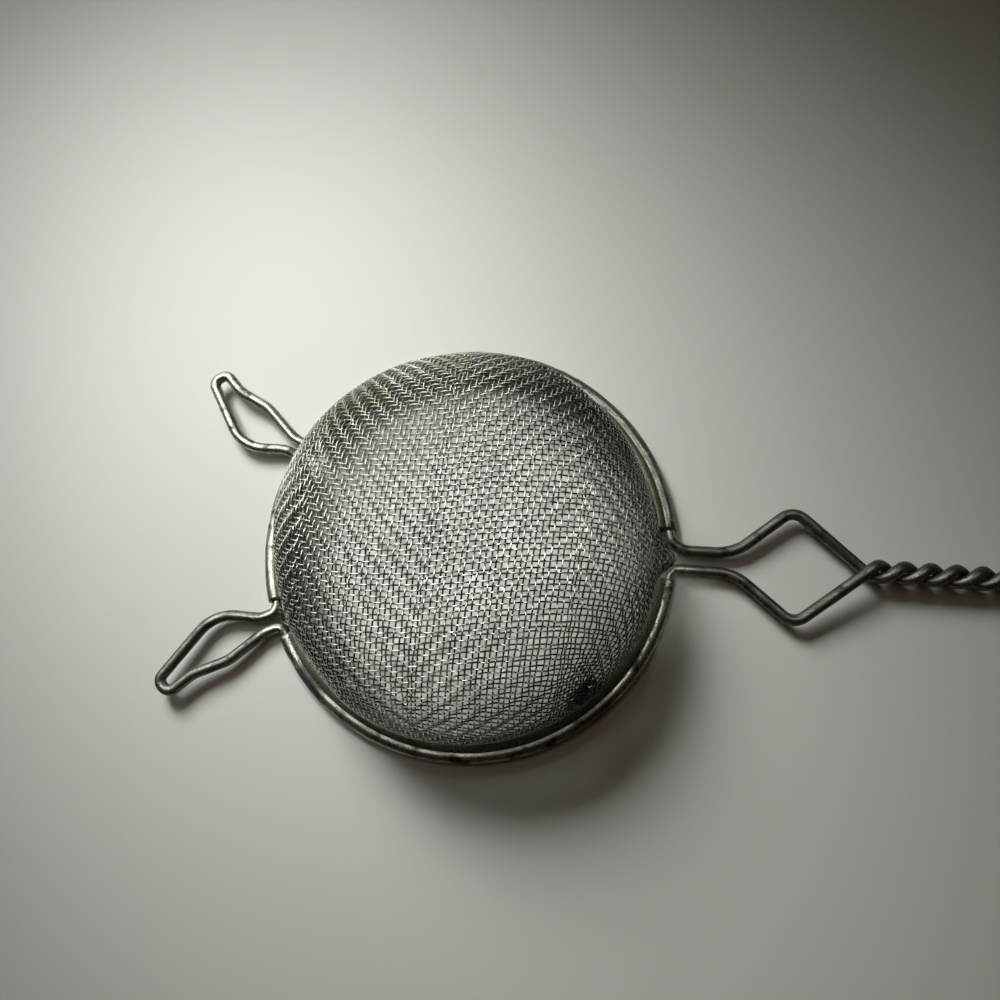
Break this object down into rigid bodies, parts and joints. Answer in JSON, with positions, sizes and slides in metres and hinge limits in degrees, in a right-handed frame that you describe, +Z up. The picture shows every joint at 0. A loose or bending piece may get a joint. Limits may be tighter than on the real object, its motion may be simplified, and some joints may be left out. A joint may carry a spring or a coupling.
{
  "type": "mesh strainer",
  "caption": "Round hand strainer: a bent wire frame with rest ears and a looped handle, a folded rim binding and a dome of woven wire cloth.",
  "frame": {"origin": "middle of the whole strainer's box, on the table that the rim rests on", "axes": "+X along the handle, away from the rim; +Z up, through the crown of the bowl, which lies upside down"},
  "size_m": [0.266, 0.125, 0.0454],
  "materials": {
    "frame_wire": "tinned steel wire, worn and tarnished olive-brown",
    "rim_binding": "folded tinplate strip, dulled and pitted",
    "wire_cloth": "drawn tinned wire, bright on the knuckles"
  },
  "bodies": {
    "root": {"frame_wire": "frame_wire", "rim_binding_back": "rim_binding", "rim_binding_between_ears": "rim_binding", "rim_binding_front": "rim_binding", "cloth_warp_01": "wire_cloth", "cloth_warp_02": "wire_cloth", "cloth_warp_03": "wire_cloth", "cloth_warp_04": "wire_cloth", "cloth_warp_05": "wire_cloth", "cloth_warp_06": "wire_cloth", "cloth_warp_07": "wire_cloth", "cloth_warp_08": "wire_cloth", "cloth_warp_09": "wire_cloth", "cloth_warp_10": "wire_cloth", "cloth_warp_11": "wire_cloth", "cloth_warp_12": "wire_cloth", "cloth_warp_13": "wire_cloth", "cloth_warp_14": "wire_cloth", "cloth_warp_15": "wire_cloth", "cloth_warp_16": "wire_cloth", "cloth_warp_17": "wire_cloth", "cloth_warp_18": "wire_cloth", "cloth_warp_19": "wire_cloth", "cloth_warp_20": "wire_cloth", "cloth_warp_21": "wire_cloth", "cloth_warp_22": "wire_cloth", "cloth_warp_23": "wire_cloth", "cloth_warp_24": "wire_cloth", "cloth_warp_25": "wire_cloth", "cloth_weft_01": "wire_cloth", "cloth_weft_02": "wire_cloth", "cloth_weft_03": "wire_cloth", "cloth_weft_04": "wire_cloth", "cloth_weft_05": "wire_cloth", "cloth_weft_06": "wire_cloth", "cloth_weft_07": "wire_cloth", "cloth_weft_08": "wire_cloth", "cloth_weft_09": "wire_cloth", "cloth_weft_10": "wire_cloth", "cloth_weft_11": "wire_cloth", "cloth_weft_12": "wire_cloth", "cloth_weft_13": "wire_cloth", "cloth_weft_14": "wire_cloth", "cloth_weft_15": "wire_cloth", "cloth_weft_16": "wire_cloth", "cloth_weft_17": "wire_cloth", "cloth_weft_18": "wire_cloth", "cloth_weft_19": "wire_cloth", "cloth_weft_20": "wire_cloth", "cloth_weft_21": "wire_cloth", "cloth_weft_22": "wire_cloth", "cloth_weft_23": "wire_cloth", "cloth_weft_24": "wire_cloth", "cloth_weft_25": "wire_cloth"}
  },
  "joints": []
}
